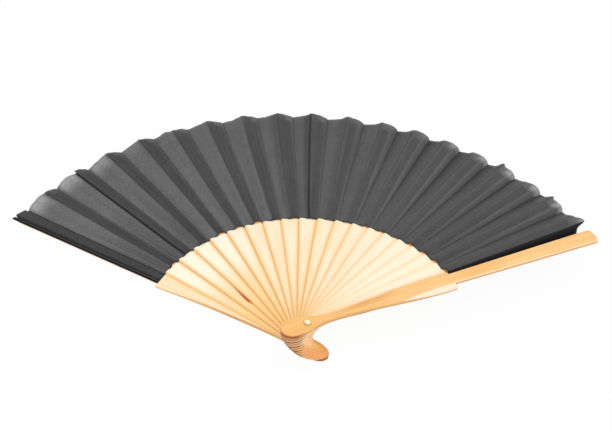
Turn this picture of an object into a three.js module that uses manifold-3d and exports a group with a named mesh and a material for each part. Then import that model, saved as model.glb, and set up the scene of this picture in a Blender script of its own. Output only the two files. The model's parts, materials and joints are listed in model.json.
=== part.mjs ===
// Folding hand fan: two bamboo guards, eighteen bamboo ribs and a pleated cloth leaf on one rivet.
// Millimetres, +Z up. The pivot axis is Z, the outer face of the back guard lies on z = 0
// and the open fan spreads evenly to both sides of +Y. Sticks are stacked from back to front.

import * as THREE from 'three';
import { mergeVertices } from 'three/addons/utils/BufferGeometryUtils.js';
import Module from 'manifold-3d';

// Opening
const RIB_COUNT = 18;
const STEP_AT_BACK = 7.7; // degrees between neighbours beside the back guard
const STEP_AT_FRONT = 5.6; // degrees between neighbours beside the front guard

// Lengths along a stick, from the pivot
const GUARD_LENGTH = 210;
const GUARD_TAIL = 18.5;
const RIB_TAIL = 17.5;
const SHOULDER = 101.5; // where the wide grip part of every stick ends
const SLAT_ROOT = 8; // how far a slat or a guard's blade runs back into the grip part

// Ribs
const RIB_THICKNESS = 0.6;
const RIB_CLEARANCE = 0.2;
const RIB_SHOULDER_WIDTH = 19.2;
const RIB_WAIST_WIDTH = 11.4;
const RIB_WAIST_AT = 12;
const RIB_TAIL_WIDTH = 12.8;
const SLAT_WIDTH = 4.8;
const SLAT_THICKNESS = 0.4;

// Guards
const GUARD_THICKNESS = 2.8;
const GUARD_CLEARANCE = 0.3;
const GUARD_SHOULDER_WIDTH = 18.4;
const GUARD_WAIST_WIDTH = 8.8;
const GUARD_WAIST_AT = 10;
const GUARD_TAIL_WIDTH = 14.4;
const GUARD_SIDE_BOW = 2.6; // how far the long sides of the grip part are hollowed
const GUARD_BLADE_THICKNESS = 1.2;
const GUARD_BLADE_ROOT_WIDTH = 9;
const GUARD_BLADE_TIP_WIDTH = 12;
const GUARD_TIP_ROUND = 3;

const SHOULDER_ROUND = 2.2;
const TAIL_ROUND = 9; // length of the rounded end of every tail

// Leaf
const LEAF_TO_SHOULDER = 0.7; // from the ends of the grip parts to the inner edge of the leaf
const LEAF_TO_GUARD_TIP = 2; // from the outer edge of the leaf to the tips of the guards
const LEAF_TO_SLAT_TIP = 4; // from the tips of the slats to the outer edge of the leaf
const LEAF_THICKNESS = 0.2;
const LEAF_SEAT_GAP = 0.06; // glue line between cloth and stick
const LEAF_FOLD_GAP = 0.15; // between neighbouring panels at a fold
const LEAF_STRIP_MARGIN = 1; // bare edge of a guard blade beside its glued strip
const PANEL_HALF_ANGLE = 1.67; // degrees from a rib's middle to the folds at its sides
const PANEL_TILT = 14.8; // degrees, the left fold of a rib's panel stands higher
const TWIST_LENGTH = 9.5; // over which the slats and the leaf twist from flat to the tilt of the panels

// Rivet
const PIN_DIAMETER = 2;
const PIN_CLEARANCE = 0.1;
const HEAD_DIAMETER = 4.8;
const HEAD_HEIGHT = 1.2;
const PEEN_DIAMETER = 3.4;
const PEEN_HEIGHT = 0.45;
const WASHER_DIAMETER = 5.6;
const WASHER_THICKNESS = 0.5;
const SEAT_GAP = 0.1;

const ROUND_SEGMENTS = 20;
const CURVE_SEGMENTS = 5;

const BAMBOO_PALE = 0xfde8c6;
const BAMBOO_WARM = 0xfcc68a;
const CLOTH_BLACK = 0x454547;
const BRASS_PALE = 0xe6dcae;

const wasm = await Module();
wasm.setup();

// Levels in the stack of sticks
const FRONT_GUARD = RIB_COUNT + 1;
const RIB_PITCH = RIB_THICKNESS + RIB_CLEARANCE;
const FIRST_RIB_Z = GUARD_THICKNESS + GUARD_CLEARANCE;
const FRONT_GUARD_Z = FIRST_RIB_Z + RIB_COUNT * RIB_PITCH - RIB_CLEARANCE + GUARD_CLEARANCE;
const STACK_TOP = FRONT_GUARD_Z + GUARD_THICKNESS;
const LEAF_RISE = RIB_THICKNESS / 2 + SLAT_THICKNESS / 2 + LEAF_SEAT_GAP + LEAF_THICKNESS;
const COUNTERBORE_DEPTH = PEEN_HEIGHT + SEAT_GAP + WASHER_THICKNESS + SEAT_GAP;

// Distances from the pivot that the leaf and the slats share
const LEAF_INNER = SHOULDER + LEAF_TO_SHOULDER;
const LEAF_OUTER = GUARD_LENGTH - LEAF_TO_GUARD_TIP;
const SLAT_LENGTH = LEAF_OUTER - LEAF_TO_SLAT_TIP;

const radians = THREE.MathUtils.degToRad;
const lerp = THREE.MathUtils.lerp;

function stepAfter(stick) {
  return lerp(STEP_AT_BACK, STEP_AT_FRONT, stick / RIB_COUNT);
}

function stickAngles() {
  const span = (RIB_COUNT + 1) * (STEP_AT_BACK + STEP_AT_FRONT) / 2;
  const angles = [90 + span / 2];
  for (let stick = 0; stick < FRONT_GUARD; stick += 1) {
    angles.push(angles[stick] - stepAfter(stick));
  }
  return angles;
}

function ribLevel(rib) {
  return FIRST_RIB_Z + (rib - 1) * RIB_PITCH;
}

function toSolid(geometry) {
  const bare = new THREE.BufferGeometry();
  bare.setAttribute('position', geometry.getAttribute('position'));
  bare.setIndex(geometry.getIndex());
  const merged = mergeVertices(bare, 1e-4);
  return new wasm.Manifold(new wasm.Mesh({
    numProp: 3,
    vertProperties: Float32Array.from(merged.getAttribute('position').array),
    triVerts: Uint32Array.from(merged.getIndex().array),
  }));
}

function toGeometry(solid) {
  const mesh = solid.getMesh();
  const geometry = new THREE.BufferGeometry();
  geometry.setAttribute('position', new THREE.BufferAttribute(mesh.vertProperties, 3));
  geometry.setIndex(new THREE.BufferAttribute(mesh.triVerts, 1));
  geometry.computeVertexNormals();
  return geometry;
}

function plate(shape, bottom, thickness) {
  const geometry = new THREE.ExtrudeGeometry(shape, {
    depth: thickness,
    bevelEnabled: false,
    curveSegments: CURVE_SEGMENTS,
  });
  return geometry.translate(0, 0, bottom);
}

function drill(diameter, bottom, depth) {
  const geometry = new THREE.CylinderGeometry(diameter / 2, diameter / 2, depth, ROUND_SEGMENTS);
  return toSolid(geometry.rotateX(Math.PI / 2).translate(0, 0, bottom + depth / 2));
}

// The wide grip part of a stick, lying along +X with its pivot at the origin
function gripShape({ shoulderWidth, waistWidth, waistAt, tailWidth, tail, sideBow }) {
  const shoulder = shoulderWidth / 2;
  const waist = waistWidth / 2;
  const end = tailWidth / 2;
  const sideStart = SHOULDER - SHOULDER_ROUND;
  const tailAt = TAIL_ROUND - tail;
  const easing = (waistAt - tailAt) / 3;
  const sideU = [lerp(sideStart, waistAt, 1 / 3), lerp(sideStart, waistAt, 2 / 3)];
  const sideV = [lerp(shoulder, waist, 1 / 3) - sideBow, lerp(shoulder, waist, 2 / 3) - sideBow];
  const shape = new THREE.Shape();
  shape.moveTo(SHOULDER, shoulder - SHOULDER_ROUND);
  shape.absarc(sideStart, shoulder - SHOULDER_ROUND, SHOULDER_ROUND, 0, Math.PI / 2, false);
  shape.bezierCurveTo(sideU[0], sideV[0], sideU[1], sideV[1], waistAt, waist);
  shape.bezierCurveTo(waistAt - easing, waist, tailAt + easing, end, tailAt, end);
  shape.absellipse(tailAt, 0, TAIL_ROUND, end, Math.PI / 2, Math.PI * 3 / 2, false, 0);
  shape.bezierCurveTo(tailAt + easing, -end, waistAt - easing, -waist, waistAt, -waist);
  shape.bezierCurveTo(sideU[1], -sideV[1], sideU[0], -sideV[0], sideStart, -shoulder);
  shape.absarc(sideStart, SHOULDER_ROUND - shoulder, SHOULDER_ROUND, -Math.PI / 2, 0, false);
  shape.closePath();
  return shape;
}

// A closed band between rows of points: each row runs from the left to the right of the band,
// the rows run outwards from the pivot, and the band reaches down from its points by thickness.
function band(rows, thickness) {
  const across = rows[0].length;
  const positions = [];
  for (const row of rows) {
    for (const point of row) {
      positions.push(point.x, point.y, point.z);
    }
    for (const point of row) {
      positions.push(point.x, point.y, point.z - thickness);
    }
  }
  const top = (row, column) => row * 2 * across + column;
  const bottom = (row, column) => top(row, column) + across;
  const indices = [];
  const quad = (a, b, c, d) => indices.push(a, b, c, a, c, d);
  const last = rows.length - 1;
  const right = across - 1;
  for (let row = 0; row < last; row += 1) {
    for (let column = 0; column < right; column += 1) {
      quad(top(row, column), top(row, column + 1), top(row + 1, column + 1), top(row + 1, column));
      quad(bottom(row, column), bottom(row + 1, column), bottom(row + 1, column + 1), bottom(row, column + 1));
    }
    quad(top(row, 0), top(row + 1, 0), bottom(row + 1, 0), bottom(row, 0));
    quad(top(row, right), bottom(row, right), bottom(row + 1, right), top(row + 1, right));
  }
  for (let column = 0; column < right; column += 1) {
    quad(top(0, column), bottom(0, column), bottom(0, column + 1), top(0, column + 1));
    quad(top(last, column), top(last, column + 1), bottom(last, column + 1), bottom(last, column));
  }
  const geometry = new THREE.BufferGeometry();
  geometry.setAttribute('position', new THREE.Float32BufferAttribute(positions, 3));
  geometry.setIndex(indices);
  geometry.computeVertexNormals();
  return geometry;
}

// Sideways slope of a slat and of its panel at a distance from the pivot
function slopeAt(distance) {
  const share = THREE.MathUtils.clamp((distance - LEAF_INNER) / TWIST_LENGTH, 0, 1);
  return Math.tan(radians(PANEL_TILT)) * share;
}

// Distances from the pivot at which both the slats and the leaf have a row of points
const TWIST_STATIONS = [LEAF_INNER, LEAF_INNER + TWIST_LENGTH / 2, LEAF_INNER + TWIST_LENGTH];

// A point over the left or right edge of a slat
function slatPoint(side, u, level) {
  const v = side * SLAT_WIDTH / 2;
  return new THREE.Vector3(u, v, level + v * slopeAt(u));
}

function ribGeometry() {
  const grip = plate(gripShape({
    shoulderWidth: RIB_SHOULDER_WIDTH,
    waistWidth: RIB_WAIST_WIDTH,
    waistAt: RIB_WAIST_AT,
    tailWidth: RIB_TAIL_WIDTH,
    tail: RIB_TAIL,
    sideBow: 0,
  }), 0, RIB_THICKNESS);
  const slatTop = (RIB_THICKNESS + SLAT_THICKNESS) / 2;
  const stations = [SHOULDER - SLAT_ROOT, ...TWIST_STATIONS, SLAT_LENGTH];
  const slat = band(stations.map((u) => [slatPoint(1, u, slatTop), slatPoint(-1, u, slatTop)]), SLAT_THICKNESS);
  const hole = drill(PIN_DIAMETER + 2 * PIN_CLEARANCE, -RIB_THICKNESS, 3 * RIB_THICKNESS);
  return toGeometry(toSolid(grip).add(toSolid(slat)).subtract(hole));
}

function bladeHalfWidth(u) {
  const along = (u - SHOULDER) / (GUARD_LENGTH - SHOULDER);
  return lerp(GUARD_BLADE_ROOT_WIDTH, GUARD_BLADE_TIP_WIDTH, along) / 2;
}

// The thin blade of a guard, which reaches past the leaf
function bladeShape() {
  const root = SHOULDER - SLAT_ROOT;
  const cornerU = GUARD_LENGTH - GUARD_TIP_ROUND;
  const cornerV = bladeHalfWidth(cornerU) - GUARD_TIP_ROUND;
  const shape = new THREE.Shape();
  shape.moveTo(root, -bladeHalfWidth(root));
  shape.absarc(cornerU, -cornerV, GUARD_TIP_ROUND, -Math.PI / 2, 0, false);
  shape.absarc(cornerU, cornerV, GUARD_TIP_ROUND, 0, Math.PI / 2, false);
  shape.lineTo(root, bladeHalfWidth(root));
  shape.closePath();
  return shape;
}

// A guard with its blade flush with one face, at a height in its own thickness
function guardSolid(bladeBottom) {
  const grip = plate(gripShape({
    shoulderWidth: GUARD_SHOULDER_WIDTH,
    waistWidth: GUARD_WAIST_WIDTH,
    waistAt: GUARD_WAIST_AT,
    tailWidth: GUARD_TAIL_WIDTH,
    tail: GUARD_TAIL,
    sideBow: GUARD_SIDE_BOW,
  }), 0, GUARD_THICKNESS);
  const blade = plate(bladeShape(), bladeBottom, GUARD_BLADE_THICKNESS);
  const hole = drill(PIN_DIAMETER + 2 * PIN_CLEARANCE, -GUARD_THICKNESS, 3 * GUARD_THICKNESS);
  return toSolid(grip).add(toSolid(blade)).subtract(hole);
}

// A fold line of the leaf beside a rib: side 1 is its high left fold, -1 its low right fold
function foldPoint(side, radius) {
  const angle = side * radians(PANEL_HALF_ANGLE);
  const v = radius * Math.sin(angle);
  return new THREE.Vector3(radius * Math.cos(angle), v, LEAF_RISE + v * slopeAt(radius));
}

// A point of a glued end strip on a guard blade
function stripPoint(side, radius, level) {
  return new THREE.Vector3(radius, side * (bladeHalfWidth(radius) - LEAF_STRIP_MARGIN), level);
}

// A point of the next stick seen from the stick behind it
function fromNextStick(point, step, rise) {
  const turned = point.clone().applyAxisAngle(new THREE.Vector3(0, 0, 1), -radians(step));
  return turned.add(new THREE.Vector3(0, 0, rise));
}

// Draws a free panel's edge in from a fold line
function inset(edge, opposite) {
  return edge.clone().lerp(opposite, LEAF_FOLD_GAP / edge.distanceTo(opposite));
}

const LEAF_STATIONS = [...TWIST_STATIONS, LEAF_OUTER];

// The panel glued to a rib, which follows the twist of its slat
function panelGeometry() {
  return band(LEAF_STATIONS.map((radius) => [
    foldPoint(1, radius),
    slatPoint(1, radius, LEAF_RISE),
    slatPoint(-1, radius, LEAF_RISE),
    foldPoint(-1, radius),
  ]), LEAF_THICKNESS);
}

// The free panel between a stick and the next one, in the frame of the stick behind
function freePanelGeometry(stick, behindLevel) {
  const step = stepAfter(stick);
  const next = stick + 1;
  const rise = (next === FRONT_GUARD ? FRONT_GUARD_Z : ribLevel(next)) - behindLevel;
  const backStrip = GUARD_BLADE_THICKNESS + LEAF_SEAT_GAP + LEAF_THICKNESS;
  const frontStrip = GUARD_THICKNESS - GUARD_BLADE_THICKNESS - LEAF_SEAT_GAP;
  const rows = LEAF_STATIONS.map((radius) => {
    const behind = stick === 0 ? stripPoint(-1, radius, backStrip) : foldPoint(-1, radius);
    const nextEdge = next === FRONT_GUARD ? stripPoint(1, radius, frontStrip) : foldPoint(1, radius);
    const ahead = fromNextStick(nextEdge, step, rise);
    if (stick === 0) {
      return [stripPoint(1, radius, backStrip), behind, inset(ahead, behind)];
    }
    if (next === FRONT_GUARD) {
      const end = fromNextStick(stripPoint(-1, radius, frontStrip), step, rise);
      return [inset(behind, ahead), ahead, end];
    }
    return [inset(behind, ahead), inset(ahead, behind)];
  });
  return band(rows, LEAF_THICKNESS);
}

// Spins a profile of radius and height about the pivot axis
function lathe(profile) {
  const points = profile.map(([radius, height]) => new THREE.Vector2(radius, height));
  return new THREE.LatheGeometry(points, ROUND_SEGMENTS).rotateX(Math.PI / 2);
}

function rivetGeometry() {
  const pin = PIN_DIAMETER / 2;
  const head = HEAD_DIAMETER / 2;
  const peen = PEEN_DIAMETER / 2;
  const seat = STACK_TOP + SEAT_GAP;
  const profile = [[0, 0], [peen, 0], [peen, PEEN_HEIGHT], [pin, PEEN_HEIGHT], [pin, seat], [head, seat]];
  const domeSteps = 5;
  for (let step = 1; step < domeSteps; step += 1) {
    const turn = Math.PI / 2 * step / domeSteps;
    profile.push([head * Math.cos(turn), seat + HEAD_HEIGHT * Math.sin(turn)]);
  }
  profile.push([0, seat + HEAD_HEIGHT]);
  return lathe(profile);
}

function washerGeometry() {
  const inner = PIN_DIAMETER / 2 + PIN_CLEARANCE;
  const outer = WASHER_DIAMETER / 2;
  const bottom = PEEN_HEIGHT + SEAT_GAP;
  const top = bottom + WASHER_THICKNESS;
  return lathe([[inner, bottom], [outer, bottom], [outer, top], [inner, top], [inner, bottom]]);
}

const finish = (color, roughness, metalness) => new THREE.MeshStandardMaterial({ color, roughness, metalness });

function addMesh(group, name, geometry, material) {
  const mesh = new THREE.Mesh(geometry, material);
  mesh.name = name;
  group.add(mesh);
}

const fan = new THREE.Group();
const angles = stickAngles();
const numbered = (name, number) => `${name}_${String(number).padStart(2, '0')}`;

function stickGroup(stick, level) {
  const group = new THREE.Group();
  group.rotation.z = radians(angles[stick]);
  group.position.z = level;
  fan.add(group);
  return group;
}

addMesh(fan, 'rivet', rivetGeometry(), finish(BRASS_PALE, 0.3, 0.9));
addMesh(fan, 'rivet_washer', washerGeometry(), finish(BRASS_PALE, 0.35, 0.9));

const counterbore = drill(WASHER_DIAMETER + 2 * PIN_CLEARANCE, -COUNTERBORE_DEPTH, 2 * COUNTERBORE_DEPTH);
const backGuard = stickGroup(0, 0);
addMesh(backGuard, 'back_guard', toGeometry(guardSolid(0).subtract(counterbore)), finish(BAMBOO_WARM, 0.5, 0));
addMesh(backGuard, numbered('leaf_fold', 0), freePanelGeometry(0, 0), finish(CLOTH_BLACK, 0.9, 0));

for (let rib = 1; rib <= RIB_COUNT; rib += 1) {
  const group = stickGroup(rib, ribLevel(rib));
  addMesh(group, numbered('rib', rib), ribGeometry(), finish(BAMBOO_PALE, 0.55, 0));
  addMesh(group, numbered('leaf_panel', rib), panelGeometry(), finish(CLOTH_BLACK, 0.9, 0));
  const fold = freePanelGeometry(rib, ribLevel(rib));
  addMesh(group, numbered('leaf_fold', rib), fold, finish(CLOTH_BLACK, 0.9, 0));
}

const frontGuard = stickGroup(FRONT_GUARD, FRONT_GUARD_Z);
const frontSolid = guardSolid(GUARD_THICKNESS - GUARD_BLADE_THICKNESS);
addMesh(frontGuard, 'front_guard', toGeometry(frontSolid), finish(BAMBOO_WARM, 0.5, 0));

export default fan;
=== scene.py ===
import json
import math
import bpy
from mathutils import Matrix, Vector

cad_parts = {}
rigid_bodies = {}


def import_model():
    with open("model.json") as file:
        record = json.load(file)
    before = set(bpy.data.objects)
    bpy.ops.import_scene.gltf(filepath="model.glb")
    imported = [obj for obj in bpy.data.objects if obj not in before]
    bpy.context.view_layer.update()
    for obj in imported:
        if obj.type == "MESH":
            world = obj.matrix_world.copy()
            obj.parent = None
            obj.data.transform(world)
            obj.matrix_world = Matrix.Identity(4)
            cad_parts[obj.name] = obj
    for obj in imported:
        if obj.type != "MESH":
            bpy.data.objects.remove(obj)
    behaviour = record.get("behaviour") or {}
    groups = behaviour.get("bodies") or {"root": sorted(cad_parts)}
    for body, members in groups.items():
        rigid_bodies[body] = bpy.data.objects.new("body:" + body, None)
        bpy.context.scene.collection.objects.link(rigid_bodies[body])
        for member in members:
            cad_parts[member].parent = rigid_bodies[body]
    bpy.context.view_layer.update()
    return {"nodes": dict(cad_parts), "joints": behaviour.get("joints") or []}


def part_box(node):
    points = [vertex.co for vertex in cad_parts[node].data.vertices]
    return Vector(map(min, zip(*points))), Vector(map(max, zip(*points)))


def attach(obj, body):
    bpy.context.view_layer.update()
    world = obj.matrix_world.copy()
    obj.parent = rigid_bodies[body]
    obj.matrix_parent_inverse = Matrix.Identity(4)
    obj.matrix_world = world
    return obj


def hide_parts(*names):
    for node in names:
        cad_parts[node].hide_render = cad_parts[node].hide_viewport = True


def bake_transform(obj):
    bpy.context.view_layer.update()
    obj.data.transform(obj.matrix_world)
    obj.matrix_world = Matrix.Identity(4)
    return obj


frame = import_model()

from types import SimpleNamespace

import bmesh
import bpy
from mathutils import Matrix, Vector, noise

# Order of the sticks
# Twenty bamboo sticks are threaded on one rivet, back guard first and front guard last.
# Each pivot's range is the angle by which its stick stands open from the one behind it.
MM = 0.001
pivots = frame["joints"]
sticks = [pivots[0]["parent"]] + [pivot["child"] for pivot in pivots]
open_steps = [math.radians(pivot["range_deg"][1]) for pivot in pivots]
stick_angles = [math.pi / 2 + sum(open_steps) / 2]
for open_step in open_steps:
    stick_angles.append(stick_angles[-1] - open_step)
front_stick = len(sticks) - 1
rib_numbers = range(1, front_stick)
numbered = "{}_{:02d}".format


def stick_place(stick, level):
    """Where a stick made along +X, with its pivot at the origin, lies in the open fan."""
    return Matrix.Translation((0, 0, level)) @ Matrix.Rotation(stick_angles[stick], 4, "Z")


# Guards
# The two outer sticks are thick bamboo, a wide grip part with a crowned outer face and a thin blade
# that covers the leaf. They are cut and sanded, so the flanks beside the warm outer skin are pale.
SHOULDER = 101.5
guard_sizes = SimpleNamespace(
    length=210.0, tail=18.0, tail_round=9.0, tail_half=7.2, tail_aside=-0.5, waist_at=10.0, waist_half=4.4,
    shoulder_half=9.2, hollow=2.6, swell=0.0, thickness=2.8, corner=0.7, crown_half=4.3, crown_narrows=0.0,
    narrows_from=45.0, narrows_to=91.5, flank_slope=0.34, flank_step=0.12, blade_inner=1.6,
    blade_root_half=4.5, blade_tip_half=6.0, blade_bevel=1.5, tip_round=3.0, skin_margin=0.25)
PIN_HOLE = 1.1
COUNTERBORE = 2.9
COUNTERBORE_DEPTH = 1.15
ASIDE_FROM, ASIDE_TO = -14.0, 6.0
GRIP_RINGS = 72
BLADE_RINGS = 40


def ease(share):
    share = min(max(share, 0.0), 1.0)
    return share * share * (3 - 2 * share)


def rounded(share):
    """Height of a quarter circle at a share of its width."""
    share = min(max(share, 0.0), 1.0)
    return math.sqrt(1 - share * share)


def grip_half_width(u, g):
    tail_at = g.tail_round - g.tail
    if u < g.waist_at:
        half = g.tail_half
        half += (g.waist_half - half) * ease((u - tail_at) / (g.waist_at - tail_at))
        return half * rounded((tail_at - u) / g.tail_round)
    along = (u - g.waist_at) / (SHOULDER - g.waist_at)
    later = g.swell * along * (1 - along) * (1 - 2 * along)
    half = g.waist_half + (g.shoulder_half - g.waist_half) * (along - later)
    half -= g.hollow * 3 * along * (1 - along)
    return half - g.corner * (1 - rounded((u - SHOULDER + g.corner) / g.corner))


def blade_half_width(u, g):
    along = (u - SHOULDER) / (g.length - SHOULDER)
    half = g.blade_root_half + (g.blade_tip_half - g.blade_root_half) * along
    return half - g.tip_round * (1 - rounded((u - g.length + g.tip_round) / g.tip_round))


def crown_half_width(u, g):
    """Half width of the warm outer skin, inside the sanded flanks."""
    if u > SHOULDER:
        return blade_half_width(u, g) - g.blade_bevel
    half = grip_half_width(u, g)
    skin = max(half - g.skin_margin, 0.8 * half)
    narrowed = ease((u - g.narrows_from) / (g.narrows_to - g.narrows_from))
    narrower = g.crown_narrows * narrowed
    return skin if u < g.waist_at else min(g.crown_half - narrower, skin)


def grip_ring(u, g):
    half = max(grip_half_width(u, g), 0.5)
    crown = max(crown_half_width(u, g), 0.3)
    top = g.thickness
    flank = top - g.flank_step - g.flank_slope * (half - crown)
    side = [(half - 0.2, 0), (half, 0.25), (half, flank - 0.25), (half - 0.2, flank),
            (crown + 0.1, top - g.flank_step), (crown * 0.8, top)]
    aside = g.tail_aside * (1 - ease((u - ASIDE_FROM) / (ASIDE_TO - ASIDE_FROM)))
    return [(v + aside, w) for v, w in side] + [(aside - v, w) for v, w in reversed(side)]


def blade_ring(u, g):
    half = blade_half_width(u, g)
    low, top = g.blade_inner, g.thickness
    side = [(half - 0.15, low), (half, low + 0.15), (half, top - 0.36), (half - 0.14, top - 0.26),
            (half - 1.6, top - 0.08), (half - 2.0, top)]
    return side + [(-v, w) for v, w in reversed(side)]


def spaced(low, high, count):
    """Distances that stand closer together towards both ends."""
    turns = [math.pi * step / count for step in range(count + 1)]
    return [low + (high - low) * (1 - math.cos(turn)) / 2 for turn in turns]


def guard_shell(g):
    """A guard along +X, its inner face on z = 0, drawn as rings of points from tail to tip."""
    rings = [(u, grip_ring(u, g)) for u in spaced(-g.tail, SHOULDER, GRIP_RINGS)]
    rings += [(u, blade_ring(u, g)) for u in spaced(SHOULDER, g.length, BLADE_RINGS)]
    shell = bmesh.new()
    rows = [[shell.verts.new((u * MM, v * MM, w * MM)) for v, w in ring] for u, ring in rings]
    around = len(rows[0])
    for row, following in zip(rows, rows[1:]):
        for k in range(around):
            beside = (k + 1) % around
            shell.faces.new((row[k], row[beside], following[beside], following[k]))
    shell.faces.new(rows[0])
    shell.faces.new(rows[-1])
    return shell


def add_piece(name, data):
    piece = bpy.data.objects.new(name, data)
    bpy.context.scene.collection.objects.link(piece)
    return piece


def drawn_mesh(name, shape):
    mesh = bpy.data.meshes.new(name)
    shape.to_mesh(mesh)
    shape.free()
    return mesh


def plain_mesh(piece):
    """Gives the piece the mesh that its modifiers make, and takes them off."""
    bpy.context.view_layer.update()
    shown = piece.evaluated_get(bpy.context.evaluated_depsgraph_get())
    piece.data = bpy.data.meshes.new_from_object(shown)
    piece.modifiers.clear()


def peg(radius, low, high, name):
    """A round cutter for a drilled hole."""
    cutter = bmesh.new()
    bmesh.ops.create_cone(cutter, cap_ends=True, segments=40, radius1=radius * MM, radius2=radius * MM,
                          depth=(high - low) * MM,
                          matrix=Matrix.Translation((0, 0, (low + high) / 2 * MM)))
    return add_piece(name, drawn_mesh(name, cutter))


def drilled(name, mesh, cutters):
    """A piece with the cutters taken out of it."""
    piece = add_piece(name, mesh)
    for cutter in cutters:
        cut = piece.modifiers.new("hole", "BOOLEAN")
        cut.operation = "DIFFERENCE"
        cut.solver = "EXACT"
        cut.object = cutter
    plain_mesh(piece)
    for cutter in cutters:
        bpy.data.objects.remove(cutter)
    return piece


def store(mesh, name, values, kind="FLOAT"):
    attribute = mesh.attributes.new(name, kind, "POINT")
    field = "vector" if kind == "FLOAT_VECTOR" else "value"
    flat = [part for value in values for part in value] if kind == "FLOAT_VECTOR" else values
    attribute.data.foreach_set(field, flat)


class Nodes:
    """One node tree, with short calls for what is done in it again and again."""

    def __init__(self, tree):
        self.tree = tree
        self.link = tree.links.new

    def add(self, kind, **settings):
        node = self.tree.nodes.new(kind)
        for name, value in settings.items():
            setattr(node, name, value)
        return node

    def feed(self, socket, value):
        if isinstance(value, bpy.types.NodeSocket):
            self.link(value, socket)
        else:
            socket.default_value = value

    def fed(self, node, *values, **named):
        """The node with its inputs filled in order, or by name with an underscore for a space."""
        for socket, value in zip(node.inputs, values):
            self.feed(socket, value)
        for name, value in named.items():
            self.feed(node.inputs[name.replace("_", " ")], value)
        return node

    def calc(self, operation, *values):
        return self.fed(self.add("ShaderNodeMath", operation=operation), *values).outputs[0]

    def plus(self, first, second):
        return self.calc("ADD", first, second)

    def minus(self, first, second):
        return self.calc("SUBTRACT", first, second)

    def times(self, product, *others):
        for other in others:
            product = self.calc("MULTIPLY", product, other)
        return product

    def most(self, greatest, *others):
        for other in others:
            greatest = self.calc("MAXIMUM", greatest, other)
        return greatest

    def ramp(self, value, low, high, start=0.0, end=1.0, kind="SMOOTHSTEP"):
        """start below low, end above high, and a smooth change between them."""
        node = self.add("ShaderNodeMapRange", interpolation_type=kind)
        return self.fed(node, value, low, high, start, end).outputs["Result"]

    def line(self, value, low, high, start, end):
        """start below low, end above high, and an even change between them."""
        return self.ramp(value, low, high, start, end, "LINEAR")

    def mix(self, share, first, second):
        node = self.add("ShaderNodeMix", data_type="RGBA")
        for place, value in ((0, share), (6, first), (7, second)):
            self.feed(node.inputs[place], value)
        return node.outputs[2]

    def paint(self, colour, second, *shares):
        """The colour with the second one over it, by the product of the shares."""
        return self.mix(self.times(*shares), colour, second)

    def split(self, vector):
        return self.fed(self.add("ShaderNodeSeparateXYZ"), vector).outputs[:]

    def join(self, *parts):
        return self.fed(self.add("ShaderNodeCombineXYZ"), *parts).outputs[0]

    def mark(self, name, output="Fac"):
        """What the mesh carries under a name at each point, as a number or as a vector."""
        return self.add("ShaderNodeAttribute", attribute_name=name).outputs[output]

    def lying(self):
        """1 where the surface lies level, 0 where it stands upright."""
        normal = self.add("ShaderNodeNewGeometry").outputs["True Normal"]
        return self.calc("ABSOLUTE", self.split(normal)[2])

    def noise(self, place, scale, detail=3.0):
        """Noise drawn out along the axes by the inverse of its scale."""
        sized = self.fed(self.add("ShaderNodeVectorMath", operation="MULTIPLY"), place, scale).outputs[0]
        node = self.add("ShaderNodeTexNoise")
        return self.fed(node, Vector=sized, Scale=1, Detail=detail).outputs["Fac"]

    def bump(self, shader, height, strength, distance):
        raised = self.fed(self.add("ShaderNodeBump"), Strength=strength, Distance=distance, Height=height)
        self.fed(shader, Normal=raised.outputs["Normal"])


def add_sockets(tree, in_out, **kinds):
    for name, kind in kinds.items():
        tree.interface.new_socket(name=name, in_out=in_out, socket_type="NodeSocket" + kind)


def new_material(name):
    """A material, its node tree and its main shader."""
    material = bpy.data.materials.new(name)
    material.use_nodes = True
    return material, Nodes(material.node_tree), material.node_tree.nodes["Principled BSDF"]


def srgb(red, green, blue):
    """A colour given as it looks on a screen, from 0 to 255."""
    parts = [part / 255 for part in (red, green, blue)]
    return [part / 12.92 if part < 0.04045 else ((part + 0.055) / 1.055) ** 2.4 for part in parts] + [1.0]


def bamboo_group():
    """Fibres, flecks and slow changes of tone that run along a bamboo stick."""
    tree = bpy.data.node_groups.new("bamboo fibres", "ShaderNodeTree")
    n = Nodes(tree)
    add_sockets(tree, "INPUT", Place="Vector", Seed="Float", Pale="Color", Warm="Color", Edge="Color",
                Side="Float")
    add_sockets(tree, "OUTPUT", Color="Color", Roughness="Float", Height="Float")
    given = n.add("NodeGroupInput").outputs
    shift = n.join(n.times(given["Seed"], 83), n.times(given["Seed"], 29))
    place = n.fed(n.add("ShaderNodeVectorMath", operation="ADD"), given["Place"], shift).outputs[0]
    tone = n.noise(place, (0.022, 0.16, 0.16), 2)
    fibre = n.noise(place, (0.035, 2.3, 2.3), 4)
    fleck = n.noise(place, (0.25, 5, 5), 1)
    warmth = n.plus(n.ramp(tone, 0.35, 0.7, 0, 0.55), n.ramp(fibre, 0.4, 0.75, 0, 0.45))
    colour = n.mix(warmth, given["Pale"], given["Warm"])
    colour = n.paint(colour, given["Edge"], n.ramp(fleck, 0.62, 0.75, 0, 0.22))
    colour = n.paint(colour, given["Edge"], n.ramp(n.lying(), 0.25, 0.6, 1, 0), given["Side"])
    rough = n.line(fibre, 0.3, 0.7, 0.42, 0.6)
    n.fed(n.add("NodeGroupOutput"), Color=colour, Roughness=rough, Height=fibre)
    return tree


bamboo_fibres = bamboo_group()


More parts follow.
